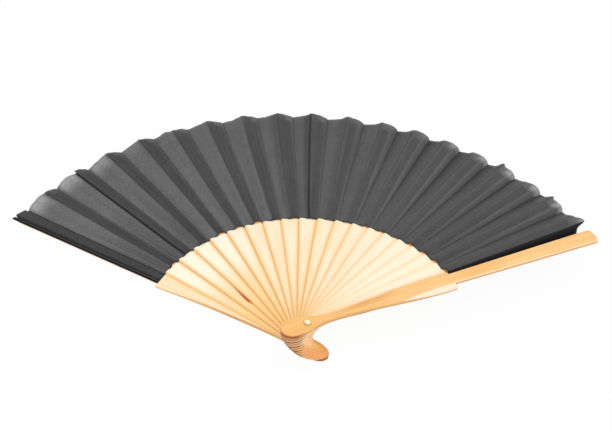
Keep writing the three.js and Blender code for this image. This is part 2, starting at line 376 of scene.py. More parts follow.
def bamboo_material(name, pale, warm, edge, tint, side=None):
    """A satin bamboo finish. tint changes the fibre colour, side says how dark the cut sides are."""
    material, n, shader = new_material(name)
    fibres = n.add("ShaderNodeGroup", node_tree=bamboo_fibres)
    n.fed(fibres, Place=n.mark("grain", "Vector"), Seed=n.mark("seed"), Pale=pale, Warm=warm, Edge=edge,
          Side=side(n) if side else 0)
    made = fibres.outputs
    n.fed(shader, Base_Color=tint(n, made["Color"]), Roughness=made["Roughness"], Specular_IOR_Level=0.35)
    n.bump(shader, made["Height"], 0.12, 0.00008)
    return material


RIB_WAIST_AT = 12.0
RIB_WAIST_HALF = 5.7
RIB_SHOULDER_HALF = 9.6


def rib_edge(n, u):
    """Half the width of a rib's grip part at a distance from the pin."""
    return n.line(u, RIB_WAIST_AT, SHOULDER, RIB_WAIST_HALF, RIB_SHOULDER_HALF)


def next_rib_away(n, u, v):
    """How far a point of a stick's face lies outside the edge of the rib on top of it."""
    step = n.mark("step")
    cosine, sine = n.calc("COSINE", step), n.calc("SINE", step)
    far = n.minus(n.times(u, cosine), n.times(v, sine))
    beside = n.plus(n.times(u, sine), n.times(v, cosine))
    return n.minus(beside, rib_edge(n, far))


def stick_chance(n):
    """A number between 0 and 1 that differs from stick to stick."""
    chance = n.add("ShaderNodeTexWhiteNoise", noise_dimensions="1D")
    return n.fed(chance, W=n.mark("seed")).outputs["Value"]


def painted_neighbour_shade(n, colour, away):
    """A painted warm shade on a stick along the edge of the rib that lies on it, deeper on the left of the
    fan.
    """
    order = n.mark("order")
    depth = n.line(stick_chance(n), 0, 1, 0.45, 1.1)
    colour = n.paint(colour, srgb(252, 206, 134), n.ramp(away, 0, 3.8, 0.8, 0),
                     n.ramp(order, 0.1, 0.9, 1, 0.3), depth)
    return n.paint(colour, srgb(250, 184, 104), n.ramp(away, 0.3, 1.7, 0.9, 0),
                   n.ramp(order, 0.3, 0.9, 1, 0.3), depth)


def guard_tint(n, colour):
    """Pale sanded flanks beside the skin, a pale inner face with painted shade along the edge of the first
    rib, and a deeper tone towards the tail.
    """
    grain = n.mark("grain", "Vector")
    u, v = n.split(grain)[:2]
    outside = n.minus(n.times(v, -1), n.mark("crown"))
    lying = n.ramp(n.lying(), 0.5, 0.8)
    colour = n.paint(colour, srgb(246, 178, 100), n.ramp(u, -18, 30, 0.55, 0), lying)
    # Patchy brown along the upper half of the grip, partly grain streaks and partly painted shade by the
    # ribs.
    uneven = n.noise(grain, (0.02, 0.9, 0.9))
    along = n.times(n.ramp(u, 12, 40), n.ramp(u, 40, 72, 1, 0.2))
    colour = n.paint(colour, srgb(226, 158, 92), n.ramp(v, -1.5, 1.5),
                     n.ramp(uneven, 0.35, 0.65, 0.25, 0.9), along)
    outer = n.ramp(n.mark("outer"), 0.2, 0.3)
    pale = n.times(n.ramp(outside, -0.2, 0.5, 0, 0.9), lying, outer, n.ramp(u, 20, 45))
    blade = n.times(n.ramp(u, SHOULDER - 0.2, SHOULDER), n.ramp(outside, 0.65, 0.85))
    colour = n.paint(colour, srgb(252, 238, 216), pale, n.minus(1, blade))
    colour = n.paint(colour, srgb(238, 166, 96), pale, blade)
    inside = n.mix(n.ramp(uneven, 0.35, 0.65), srgb(254, 238, 206), srgb(252, 222, 170))
    inside = painted_neighbour_shade(n, inside, next_rib_away(n, u, v))
    inside = n.paint(inside, srgb(236, 156, 88), n.ramp(u, -18, -1, 0.85, 0))
    return n.paint(colour, inside, lying, n.minus(1, outer), 0.9)


def guard_side(n):
    """The cut sides are brown round the tail and along their lower edge, and lighter above it. The brown
    is partly the colour of the cut and partly painted shade.
    """
    u, w = n.split(n.mark("grain", "Vector"))[::2]
    lower = n.ramp(w, 0.4, 1.5, 0.55, 0.1)
    blade = n.ramp(u, SHOULDER - 1, SHOULDER, 0, 0.5)
    return n.most(lower, blade, n.ramp(u, -10, -1, 1, 0))


guard_bamboo = bamboo_material("guard bamboo", srgb(252, 208, 140), srgb(244, 178, 102),
                               srgb(178, 102, 54), guard_tint, guard_side)


def make_guard(name, stick, outer_up, sizes, cutters):
    shell = guard_shell(sizes)
    if not outer_up:
        turn = Matrix.Translation((0, 0, guard_sizes.thickness * MM)) @ Matrix.Scale(-1, 4, (0, 0, 1))
        bmesh.ops.transform(shell, matrix=turn, verts=shell.verts)
    bmesh.ops.recalc_face_normals(shell, faces=shell.faces)
    guard = drilled(name + "_stick", drawn_mesh(name, shell), cutters)
    places = [vertex.co / MM for vertex in guard.data.vertices]
    store(guard.data, "grain", [place[:] for place in places], "FLOAT_VECTOR")
    before_tip = sizes.length - 0.1
    store(guard.data, "crown", [crown_half_width(min(place.x, before_tip), sizes) for place in places])
    for mark, value in (("seed", 0.31 + 0.17 * stick), ("step", open_steps[0]), ("order", 0.0)):
        store(guard.data, mark, [value] * len(places))
    depths = [place.z / guard_sizes.thickness for place in places]
    store(guard.data, "outer", depths if outer_up else [1 - depth for depth in depths])
    guard.data.transform(stick_place(stick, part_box(name)[0].z))
    guard.data.materials.clear()
    guard.data.materials.append(guard_bamboo)
    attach(guard, sticks[stick])
    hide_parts(name)


back_sizes = SimpleNamespace(**vars(guard_sizes) | dict(tail=17.0, tail_half=6.3, tail_aside=2.0))
make_guard("back_guard", 0, False, back_sizes, [
    peg(PIN_HOLE, -1, 4, "pin hole"),
    peg(COUNTERBORE, -1, COUNTERBORE_DEPTH, "washer seat")])
front_sizes = SimpleNamespace(**vars(guard_sizes) | dict(
    tail=17.3, tail_round=8.4, tail_half=6.5, waist_at=14.0, waist_half=2.8, shoulder_half=7.5, hollow=0.0,
    swell=1.6, crown_half=6.0, crown_narrows=2.6))
make_guard("front_guard", front_stick, True, front_sizes, [peg(PIN_HOLE, -1, 4, "pin hole")])


# Ribs
# Eighteen thin bamboo sticks, each with a wide grip part and a slender slat that carries the leaf.
# They are split and sanded, pale on the face, with painted shade where the next rib lies on them and
# painted light and shade on their sides and tails.
RIB_TAIL = 17.5
TAIL_HALF = 6.4
BACK_TAIL = 16.2
ODD_TAIL = 0.15
BACK_NARROWER = 0.8
BACK_ASIDE = 2.0
FRONT_CUT = 1.3
RIB_THICKNESS = 0.6
SLAT_HALF = 2.4
SLAT_THICKNESS = 0.4
SLAT_TIP = 204.0
SLAT_TWIST_TO = 106.0
LEAF_INNER = 101.8
LEAF_OUTER = 208.0
LEAF_LENGTH = LEAF_OUTER - LEAF_INNER
PANEL_HALF = math.radians(1.67)
PLEAT_ROOT = 0.7
PLEAT_TIP = 2.3
SLAT_RINGS = 64
RING = 12
HALF_SIDE = math.pi / RING


def waver(x, y, z):
    """A smooth random value between -1 and 1, the same in every run."""
    return noise.noise(Vector((x, y, z)))


def pleat_tip(rib):
    """Half the height of a rib's pleat at the rim. The last ones are lower, under the front guard."""
    uneven = 0.25 * waver(rib * 1.73, 0.4, 2.2) + (0.7 if rib == 2 else 0.0)
    return PLEAT_TIP + uneven - 0.6 * ease((rib - 15) / 3)


def pleat_height(rib, radius):
    return PLEAT_ROOT + (pleat_tip(rib) - PLEAT_ROOT) * (radius - LEAF_INNER) / LEAF_LENGTH


def rib_tree():
    """One rib along +X in millimetres, placed in the fan by its angle and level."""
    tree = bpy.data.node_groups.new("bamboo rib", "GeometryNodeTree")
    tree.is_modifier = True
    n = Nodes(tree)
    add_sockets(tree, "OUTPUT", Rib="Geometry")
    sizes = {"Tail": RIB_TAIL, "Tail Round": 9.0, "Tail Half": TAIL_HALF, "Waist At": RIB_WAIST_AT,
             "Waist Half": RIB_WAIST_HALF, "Shoulder": SHOULDER, "Shoulder Half": RIB_SHOULDER_HALF,
             "Corner": 1.4, "Thickness": RIB_THICKNESS, "Under": 0.15, "Edge": 0.24, "Slat Root": 93.5,
             "Slat Tip": SLAT_TIP, "Slat Half": SLAT_HALF, "Slat Thickness": SLAT_THICKNESS,
             "Twist To": SLAT_TWIST_TO, "Root Extra": 2.6, "Leaf Inner": LEAF_INNER,
             "Leaf Outer": LEAF_OUTER, "Panel Sine": math.sin(PANEL_HALF), "Pleat Root": PLEAT_ROOT,
             "Pleat Tip": PLEAT_TIP, "Pin Hole": PIN_HOLE, "Angle": 0.0, "Level": 0.0, "Seed": 0.0,
             "Step": 0.0, "Order": 0.0, "Side Tone": 0.5, "Tail Aside": 0.0, "Pin Waist": 1.6,
             "Pin Waist At": -1.0, "Pin Waist Reach": 9.0, "Waist Cut": 0.0, "Waist Cut At": 16.0,
             "Waist Cut Reach": 28.0, "Shoulder Slant": 0.08, "Slant Reach": 8.0}
    for name, value in sizes.items():
        socket = tree.interface.new_socket(name=name, in_out="INPUT", socket_type="NodeSocketFloat")
        socket.default_value = value
    add_sockets(tree, "INPUT", Finish="Material")
    given = n.add("NodeGroupInput").outputs

    def bar(segments, length_of, half_of, aside_of, thick, middle, slope_of, slant_of):
        """A closed bar whose rings of twelve points have a small round at each corner."""
        tube = n.add("GeometryNodeMeshCylinder", fill_type="NGON")
        n.fed(tube, Vertices=RING, Side_Segments=segments, Radius=1, Depth=1)
        x, y, z = n.split(n.add("GeometryNodeInputPosition").outputs[0])
        turn = n.plus(n.calc("ARCTAN2", y, x), HALF_SIDE)
        side, upper = n.calc("COSINE", turn), n.calc("SINE", turn)
        corner = n.calc("ARCTAN2", n.calc("ABSOLUTE", upper), n.calc("ABSOLUTE", side))
        corner = n.times(n.minus(corner, HALF_SIDE), 1.5)
        u = length_of(n.plus(z, 0.5))
        edge = n.calc("MINIMUM", given["Edge"], n.times(thick, 0.4))

        def reach(sign, size, part):
            return n.times(n.calc("SIGN", sign), n.plus(n.minus(size, edge), n.times(edge, part)))

        v = n.plus(reach(side, half_of(u), n.calc("COSINE", corner)), aside_of(u))
        height = reach(upper, n.times(thick, 0.5), n.calc("SINE", corner))
        height = n.plus(n.plus(height, n.times(v, slope_of(u))), middle)
        place = n.join(n.plus(u, n.times(v, slant_of(u))), v, height)
        moved = n.add("GeometryNodeSetPosition")
        return n.fed(moved, Geometry=tube.outputs["Mesh"], Position=place).outputs[0]

    tail_at = n.minus(given["Tail Round"], given["Tail"])
    shoulder = given["Shoulder"]

    def grip_length(share):
        closer = n.calc("COSINE", n.times(share, math.pi))
        return n.line(closer, 1, -1, n.times(given["Tail"], -1), shoulder)

    def quarter(share):
        return n.calc("SQRT", n.most(n.minus(1, n.times(share, share)), 0))

    def narrowing(u, name):
        """What is cut off at one place along the rib, running out at its reach from there."""
        away = n.calc("ABSOLUTE", n.minus(u, given[name + " At"]))
        return n.ramp(away, 0, given[name + " Reach"], given[name], 0)

    def grip_half(u):
        tail_end = n.line(n.minus(tail_at, u), 0, given["Tail Round"], 0, 1)
        half = n.ramp(u, tail_at, given["Waist At"], given["Tail Half"], given["Waist Half"])
        half = n.minus(n.times(half, quarter(tail_end)), narrowing(u, "Pin Waist"))
        half = n.minus(half, narrowing(u, "Waist Cut"))
        wider = n.minus(given["Shoulder Half"], given["Waist Half"])
        half = n.plus(half, n.line(u, given["Waist At"], shoulder, 0, wider))
        bend = n.line(u, n.minus(shoulder, given["Corner"]), shoulder, 0, 1)
        lost = n.times(given["Corner"], n.minus(1, quarter(bend)))
        return n.most(n.minus(half, lost), n.times(given["Edge"], 2))

    def slat_length(share):
        return n.line(share, 0, 1, given["Slat Root"], given["Slat Tip"])

    def slat_extra(u):
        return n.ramp(u, shoulder, n.plus(shoulder, 2), n.times(given["Root Extra"], 0.5), 0)

    def slat_half(u):
        return n.plus(given["Slat Half"], slat_extra(u))

    def slat_slope(u):
        ends = [given[name] for name in ("Leaf Inner", "Leaf Outer", "Pleat Root", "Pleat Tip")]
        height = n.line(u, *ends)
        slope = n.calc("DIVIDE", height, n.times(u, given["Panel Sine"]))
        return n.times(slope, n.ramp(u, shoulder, given["Twist To"]))

    def tail_aside(u):
        return n.plus(n.ramp(u, ASIDE_FROM, ASIDE_TO, given["Tail Aside"], 0), narrowing(u, "Waist Cut"))

    def shoulder_slant(u):
        begins = n.minus(shoulder, given["Slant Reach"])
        return n.ramp(u, begins, shoulder, 0, given["Shoulder Slant"])

    def none(u):
        return 0.0

    grip_thick = n.plus(given["Thickness"], given["Under"])
    grip_middle = n.times(n.minus(given["Thickness"], given["Under"]), 0.5)
    slat_middle = n.times(given["Thickness"], 0.5)
    grip = bar(GRIP_RINGS, grip_length, grip_half, tail_aside, grip_thick, grip_middle, none,
               shoulder_slant)
    slat = bar(SLAT_RINGS, slat_length, slat_half, slat_extra, given["Slat Thickness"], slat_middle,
               slat_slope, none)
    hole = n.add("GeometryNodeMeshCylinder", fill_type="NGON")
    n.fed(hole, Vertices=32, Radius=given["Pin Hole"], Depth=4)
    joined = n.add("GeometryNodeMeshBoolean", operation="UNION", solver="EXACT")
    for bar_part in (grip, slat):
        n.fed(joined, Mesh_2=bar_part)
    bored = n.add("GeometryNodeMeshBoolean", operation="DIFFERENCE", solver="EXACT")
    n.fed(bored, Mesh_1=joined.outputs["Mesh"], Mesh_2=hole.outputs["Mesh"])

    def marked(body, name, value, kind="FLOAT"):
        mark = n.add("GeometryNodeStoreNamedAttribute", data_type=kind, domain="POINT")
        return n.fed(mark, Geometry=body, Name=name, Value=value).outputs[0]

    own_place = n.add("GeometryNodeInputPosition").outputs[0]
    body = marked(bored.outputs["Mesh"], "grain", own_place, "FLOAT_VECTOR")
    for name, size in (("seed", "Seed"), ("step", "Step"), ("order", "Order"), ("tone", "Side Tone")):
        body = marked(body, name, given[size])
    placed = n.add("GeometryNodeTransform")
    n.fed(placed, Geometry=body, Rotation=n.join(0, 0, given["Angle"]),
          Translation=n.join(0, 0, given["Level"]), Scale=(MM, MM, MM))
    fan_place = n.split(n.add("GeometryNodeInputPosition").outputs[0])
    body = marked(placed.outputs[0], "fan_x", n.calc("DIVIDE", fan_place[0], MM))
    solid = n.fed(n.add("GeometryNodeRealizeInstances"), body).outputs[0]
    finish = n.fed(n.add("GeometryNodeSetMaterial"), Geometry=solid, Material=given["Finish"])
    n.fed(n.add("NodeGroupOutput"), Rib=finish.outputs[0])
    return tree


def rib_tint(n, colour):
    """Golden towards the rivet, and on the second rib a red-brown wedge along the third rib's edge.
    Painted shade: a warm shade along the edge of the rib that lies on this one and along its own left
    edge, gold on the left ribs, orange on the slat root past the shoulder, and on the left of the fan
    brown stripes round the tails. Painted light: a paler top on the left ribs, paler ribs towards the
    front guard, paler right sides from the tail on and paler left sides along the grip."""
    u, v = n.split(n.mark("grain", "Vector"))[:2]
    lying, order, fan_x = n.lying(), n.mark("order"), n.mark("fan_x")
    upright = n.ramp(lying, 0.25, 0.6, 1, 0)
    away = next_rib_away(n, u, v)
    face = n.paint(colour, srgb(252, 208, 140), n.ramp(u, -10, 55, 0.7, 0),
                   n.ramp(order, 0.5, 0.9, 1, 0.45))
    # On the left ribs, gold towards the rivet is painted shade and a paler top is painted light.
    on_left = n.ramp(order, 0.2, 0.32, 1, 0)
    for tone, *ends in (((253, 212, 140), 35, 85, 0.8, 0), ((255, 248, 226), 62, 84, 0, 0.8),
                        ((249, 198, 120), 15, 50, 0.6, 0)):
        face = n.paint(face, srgb(*tone), on_left, n.ramp(u, *ends))
    # Paler on the ribs towards the front guard, as painted light.
    face = n.paint(face, srgb(255, 246, 222), n.ramp(order, 0.6, 0.85, 0, 0.6))
    face = painted_neighbour_shade(n, face, away)
    # A painted warm shade along the rib's own left edge, deeper on the left of the fan.
    inside = n.minus(rib_edge(n, u), v)
    face = n.paint(face, srgb(251, 202, 130), n.ramp(inside, 0, 2.8, 0.8, 0),
                   n.ramp(order, 0.1, 0.9, 1, 0.35))
    second = n.calc("COMPARE", order, 2 / front_stick, 0.01)
    red_wedge = n.times(n.ramp(u, 40, 47), n.ramp(u, 48, 72, 1, 0))
    red_wedge_side = n.ramp(n.minus(away, n.times(red_wedge, 2)), -0.6, 0.3, 1, 0)
    face = n.paint(face, srgb(206, 104, 58), red_wedge, red_wedge_side, second)
    # Painted shade in orange on the slat root past the shoulder, where it shows below the cloth's edge.
    face = n.paint(face, srgb(226, 134, 52), n.ramp(u, SHOULDER + 0.6, SHOULDER + 1, 0, 0.9))
    colour = n.mix(upright, face, colour)
    # Painted light: paler right sides from the tail on.
    on_right = n.most(n.ramp(u, 4, 14), n.ramp(fan_x, -5, 1))
    colour = n.paint(colour, srgb(255, 238, 208), upright, n.ramp(u, -12, -7, 0, 0.85),
                     n.ramp(v, -3.5, 0, 1, 0), on_right)
    # Painted light: paler left sides along the grip, a little different on each rib.
    glow = n.mix(stick_chance(n), srgb(255, 224, 164), srgb(255, 210, 136))
    colour = n.paint(colour, glow, upright, n.ramp(u, 8, 18, 0, 0.85), n.ramp(v, 0, 1))
    colour = n.paint(colour, srgb(243, 174, 108), n.ramp(u, -13, -7.5, 0.85, 0),
                     n.ramp(fan_x, -5, 2, 0.35, 1))
    # Painted shade: dark brown stripes on the rounded edges of the tails on the left of the fan, full on
    # the odd ribs.
    tail_stripe_shade = n.times(n.ramp(lying, 0.93, 0.97, 1, 0), n.ramp(fan_x, -5, 0.5, 1, 0))
    return n.paint(colour, srgb(142, 76, 38), tail_stripe_shade, n.ramp(u, 0, 12, 1, 0), n.mark("tone"))


rib_bamboo = bamboo_material("rib bamboo", srgb(254, 239, 210), srgb(252, 223, 178), srgb(134, 70, 36),
                             rib_tint)
rib_nodes = rib_tree()
rib_sockets = {item.name: item.identifier for item in rib_nodes.interface.items_tree
               if item.in_out == "INPUT"}
for rib in rib_numbers:
    name = numbered("rib", rib)
    piece = add_piece(name + "_stick", bpy.data.meshes.new(name))
    builder = piece.modifiers.new("rib", "NODES")
    builder.node_group = rib_nodes
    to_back = 1 - ease(rib / 9)
    sizes = {"Angle": stick_angles[rib], "Level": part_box(name)[0].z, "Seed": 0.618 * rib,
             "Step": open_steps[rib], "Order": rib / front_stick, "Finish": rib_bamboo,
             "Tail": RIB_TAIL + (BACK_TAIL - RIB_TAIL) * to_back + ODD_TAIL * (rib % 2),
             "Tail Half": TAIL_HALF - BACK_NARROWER * to_back,
             "Tail Aside": BACK_ASIDE * max(1 - rib / 12, 0.0), "Side Tone": 1.0 if rib % 2 else 0.75,
             "Waist Cut": FRONT_CUT * ease((rib - 12) / 3), "Pleat Tip": pleat_tip(rib)}
    for size, value in sizes.items():
        builder[rib_sockets[size]] = value
    plain_mesh(piece)
    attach(piece, sticks[rib])
    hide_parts(name)
rib_levels = {rib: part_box(numbered("rib", rib))[0].z / MM for rib in rib_numbers}


# Rivet and washer
# A pale brass pin with a domed head on the front guard, its other end peened over a washer
# that is let into the back guard.
HEAD_HEIGHT = 1.2
HEAD_RIM = 0.15
HEAD_RADIUS = 2.05
HEAD_STEPS = 8


def brass_material():
    """Pale worn brass, with painted shade where the head meets the guard."""
    material, n, shader = new_material("pale brass")
    place = n.add("ShaderNodeTexCoord").outputs["Object"]
    worn = n.noise(place, (900, 900, 900), 4)
    colour = n.mix(n.ramp(worn, 0.35, 0.7), srgb(255, 250, 208), srgb(244, 230, 178))
    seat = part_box("rivet")[1].z - HEAD_HEIGHT * MM
    # Painted shade: darker brown round the foot of the head.
    painted_rim_shade = n.ramp(n.split(place)[2], seat + HEAD_RIM * MM, seat + 0.6 * MM, 0.9, 0)
    n.fed(shader, Base_Color=n.paint(colour, srgb(128, 96, 50), painted_rim_shade),
          Roughness=n.ramp(worn, 0.3, 0.7, 0.22, 0.42), Metallic=0.45)
    n.bump(shader, worn, 0.2, 0.00005)
    return material


def rivet_profile():
    """Radius and height from the peened end to the middle of the head."""
    low, high = (corner.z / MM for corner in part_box("rivet"))
    seat = high - HEAD_HEIGHT
    profile = [(0.0, low), (1.55, low), (1.7, low + 0.12), (1.7, low + 0.33), (1.58, low + 0.45),
               (1.0, low + 0.45), (1.0, seat), (1.9, seat), (HEAD_RADIUS, seat + HEAD_RIM)]
    for step in range(1, HEAD_STEPS + 1):
        turn = math.pi / 2 * step / HEAD_STEPS
        radius = HEAD_RADIUS * math.cos(turn) ** 0.9 if step < HEAD_STEPS else 0.0
        profile.append((radius, seat + HEAD_RIM + (HEAD_HEIGHT - HEAD_RIM) * math.sin(turn)))
    return profile


pale_brass = brass_material()
turned = bmesh.new()
outline = [turned.verts.new((radius * MM, 0, height * MM)) for radius, height in rivet_profile()]
for start, end in zip(outline, outline[1:]):
    turned.edges.new((start, end))
bmesh.ops.spin(turned, geom=turned.verts[:] + turned.edges[:], axis=(0, 0, 1), cent=(0, 0, 0), steps=48,
               angle=2 * math.pi)
bmesh.ops.remove_doubles(turned, verts=turned.verts, dist=1e-6)
bmesh.ops.recalc_face_normals(turned, faces=turned.faces)
rivet_mesh = drawn_mesh("rivet_pin", turned)
rivet_mesh.shade_smooth()
rivet_mesh.set_sharp_from_angle(angle=math.radians(35))
rivet_mesh.materials.append(pale_brass)
rivet = add_piece("rivet_pin", rivet_mesh)
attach(rivet, sticks[0])
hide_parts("rivet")
washer_mesh = frame["nodes"]["rivet_washer"].data
washer_mesh.materials.clear()
washer_mesh.materials.append(pale_brass)


# Leaf
# One band of thin black woven cloth, pleated and glued to the slats. It rides as a glued panel on each
# rib, falling from a high left fold to a low right fold, and as free folds that close between the sticks.
CLOTH = 0.12
GLUE_RISE = 0.66
RIM_UNEVEN = 0.9
SHEER = 0.425
THREAD_PITCH = 0.62
LEAF_ROWS = 44
LEFT_SHIFT = 2.3


def even_shares(count):
    return [step / count for step in range(count + 1)]


LEAF_OUTS = even_shares(LEAF_ROWS)


def leaf_shift(rib, radius):
    """How far a rib's panel lies to the right of the rib, more towards the front guard and the rim."""
    share = (rib - 1) / (front_stick - 2)
    root, tip = -0.2 + 0.8 * share, -1.0 + 4.6 * share
    out = (radius - LEAF_INNER) / LEAF_LENGTH
    to_left = LEFT_SHIFT * ease((rib - 3.3) / 2) * (1 - ease((rib - 9) / 1.5))
    return root + (tip - root) * out - to_left * out * (2 - out)


def leaf_radius(stick, side, out):
    """The radius at a share of the way out, to a rim that was cut a little unevenly."""
    uneven = RIM_UNEVEN * waver(stick * 3.7, side * 1.9, 4.3)
    return LEAF_INNER + out * (LEAF_LENGTH + uneven)


def fold_point(rib, side, out):
    """A point of a rib's high left fold, side 1, or low right fold, side -1, in the rib's own frame."""
    radius = leaf_radius(rib, side, out)
    half, height = radius * math.sin(PANEL_HALF), pleat_height(rib, radius)
    v = side * half - leaf_shift(rib, radius)
    raised = max(-leaf_shift(rib, radius), 0.0) * height / half
    return Vector((math.sqrt(radius * radius - v * v), v, GLUE_RISE + raised + side * height))


def in_fan(stick, level, point):
    return stick_place(stick, level * MM) @ (point * MM)


def cloth_sheet(name, rows, marks):
    """A thin sheet between rows of points. marks gives each point's sheerness, share out and seam, how far
    the weave is closed there, and how much lighter grey the cloth is painted. The seam mark also paints
    black shade under the front guard; the closed weave comes partly from gluing and partly from painted
    shade and highlight, and the lighter grey is painted light."""
    mesh = bpy.data.meshes.new(name)
    across = len(rows[0])
    points = [point for row in rows for point in row]
    faces = []
    for row in range(len(rows) - 1):
        for column in range(across - 1):
            corner = row * across + column
            faces.append((corner, corner + 1, corner + across + 1, corner + across))
    mesh.from_pydata(points, [], faces)
    mesh.update()
    store(mesh, "weave", [(point.x / MM, point.y / MM, 0.0) for point in points], "FLOAT_VECTOR")
    store(mesh, "leaf", [mark[:3] for row in marks for mark in row], "FLOAT_VECTOR")
    store(mesh, "glue_and_painted_light", [mark[3:] + (0.0,) for row in marks for mark in row], "FLOAT_VECTOR")
    mesh.shade_smooth()
    mesh.materials.append(leaf_cloth)
    piece = add_piece(name, mesh)
    thickness = piece.modifiers.new("cloth thickness", "SOLIDIFY")
    thickness.thickness = CLOTH * MM
    thickness.offset = 0.0
    return piece


def cloth_material():
    """Black plain weave with slubs. Light comes through it, less where the weave is closed by gluing and
    by painted shade. A lighter grey is painted as light, and black as seams and shade.
    """
    material, n, shader = new_material("black leaf cloth")
    place = n.mark("weave", "Vector")
    thin, out, seam = n.split(n.mark("leaf", "Vector"))
    seam = n.ramp(seam, 0.55, 0.85)
    closed, painted_light_grey = n.split(n.mark("glue_and_painted_light", "Vector"))[:2]
    warp, weft = [n.calc("SINE", n.times(part, 2 * math.pi / THREAD_PITCH)) for part in n.split(place)[:2]]
    woven = n.calc("MULTIPLY_ADD", n.times(warp, weft), 0.5, 0.5)
    slubs = n.times(n.plus(n.noise(place, (0.1, 2.2, 1)), n.noise(place, (2.2, 0.1, 1))), 0.5)
    worn = n.noise(place, (0.045, 0.045, 1))
    colour = n.mix(n.ramp(worn, 0.35, 0.7), srgb(50, 50, 52), srgb(58, 58, 59))
    colour = n.paint(colour, srgb(80, 80, 81), n.ramp(slubs, 0.45, 0.68, 0, 0.5))
    # A lighter grey, painted light.
    colour = n.paint(colour, srgb(97, 97, 98), painted_light_grey)
    colour = n.paint(colour, srgb(34, 34, 36), woven, 0.18)
    colour = n.paint(colour, srgb(138, 138, 138), n.ramp(out, 0.988, 1), 0.45)
    # Black at the seams, and as painted shade under the front guard.
    colour = n.paint(colour, srgb(18, 18, 20), seam)
    facing = n.minus(1, n.add("ShaderNodeLayerWeight").outputs["Facing"])
    open_weave = n.times(facing, SHEER, n.ramp(slubs, 0.35, 0.65, 1.15, 0.85), n.minus(1, closed))
    sheer = n.times(thin, n.ramp(woven, 0.15, 0.85, 0.05, 0.4))
    through = n.times(n.plus(sheer, open_weave), n.minus(1, seam))
    n.fed(shader, Base_Color=colour, Roughness=0.85, Specular_IOR_Level=0.2, Sheen_Weight=0.08,
          Alpha=n.minus(1, through))
    n.bump(shader, n.plus(n.times(woven, 0.2), slubs), 0.25, 0.00015)
    return material


leaf_cloth = cloth_material()


def declare(nodes, held_by):
    """Hides the parts of model.glb that the cloth piece stands in for."""
    if nodes:
        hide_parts(*nodes)


# Glued panels
# The cloth is glued on each rib's slat. On the left of the fan it falls straight from the left fold to the
# right one; on the right it lies level over the slat and then drops in a round edge.
PANEL_COLUMNS = 20
PANEL_WRINKLE = 0.16
BESIDE_SLAT = 0.15
ABOVE_SLAT = 0.03


def panel_height(rib, across):
    """Height between 1 at the left fold and -1 at the right fold."""
    share = ease((rib - 7) / 7)
    level_part = 0.04 + 0.24 * share + 0.5 * ease((rib - 16.6) / 1.4)
    fall = max(across - level_part, 0.0) / (1 - level_part)
    round_part = 0.12 + 0.7 * share
    return 1 - 2 * ((1 - round_part) * fall + round_part * (1 - rounded(fall)))


def slat_top(rib, v, u):
    slope = pleat_height(rib, u) / (u * math.sin(PANEL_HALF))
    slope *= ease((u - SHOULDER) / (SLAT_TWIST_TO - SHOULDER))
    return (RIB_THICKNESS + SLAT_THICKNESS) / 2 + v * slope


def glue_and_painted_light_marks(rib, across, out):
    """A dark band where the weave is closed, partly by gluing and partly as painted shade on its left
    part, and on the right a painted highlight streak by the low folds, where the weave is opened, with
    painted shade by the folds near the rim. The grey share is painted light.
    """
    streaks = waver(across * 7, out * 0.9, rib * 3.3)
    streaks += 0.7 * waver(across * 3, out * 6.1, rib * 1.7)
    wide = 0.22 * waver(out * 2.1, rib * 2.9, 0.6)
    band = ease((across + 0.1 + wide) / 0.15) * (1 - 0.6 * ease((across - 0.4 + wide) / 0.25))
    # The painted highlight streak opens the weave on the right.
    light = ease((across - 0.25 + wide) / 0.35) * (1 - ease((across - 0.7) / 0.22))
    light *= 1 - 0.55 * ease((rib - 11) / 4)
    to_front = ease((rib - 6) / 8)
    to_middle = ease((rib - 3) / 3)
    closed_left = (0.8 - 0.1 * to_middle) * band + 0.2 * streaks
    closed_right = 0.42 - 0.3 * (1 - 0.9 * out) * light + 0.14 * streaks
    # Painted shade: the weave closes by both folds towards the rim.
    closed_right += out * (0.2 * (1 - ease(across / 0.25)) + 0.35 * ease((across - 0.7) / 0.15))
    closed = (1 - to_front) * closed_left + to_front * closed_right
    # A lighter grey as painted light, most on the right of the fan.
    greyed = 0.12 + (0.1 + 0.24 * ease((across - 0.38) / 0.2)) * to_middle
    painted_light_grey = (1 - to_front) * greyed + to_front * (0.9 - 0.3 * max(ease((rib - 12) / 4), out))
    return min(max(closed, 0.0), 1.0), painted_light_grey


RIDGE_REACH = 0.9
VALLEY_REACH = 1.4
LAST_VALLEY = -4.0
POINT_REACH = 4.3
uneven_ridges = {5: -2.6, 6: -0.6, 10: 0.8, 15: 3.2, 16: -1.6, 17: 2.4}


def valley_stands(stick):
    """How far the rim stands out on a stick's low fold. The last one is cut back under the front guard."""
    return LAST_VALLEY if stick == front_stick - 1 else VALLEY_REACH * ease((stick - 5) / 3)


def ridge_stands(rib):
    """How far the rim stands out on a rib's high fold, where the slat holds it."""
    return RIDGE_REACH * ease((rib - 8) / 4) + uneven_ridges.get(rib, 0.0)


def panel_reach(rib, across):
    """Share by which a panel's rim stands out from a straight cut. The last panel ends in a point."""
    to_front = ease((rib - 8) / 4)
    bulge = 1.1 - 0.6 * ease((rib - 2) / 2) + 0.9 * to_front
    wave = bulge + waver(across * 3.5, rib * 2.3, 1.1) * (0.5 + 0.3 * to_front)
    fades_at = 0.3 if ridge_stands(rib) > 0 else 0.95
    wave = wave * 4 * across * (1 - across) + ridge_stands(rib) * (1 - ease(across / fades_at))
    if rib == front_stick - 1:
        wave += POINT_REACH * ease(across / 0.6) * (1 - ease((across - 0.62) / 0.3))
        return 1 + (wave + valley_stands(rib) * ease((across - 0.62) / 0.35)) / LEAF_LENGTH
    return 1 + (wave + valley_stands(rib) * ease(across)) / LEAF_LENGTH


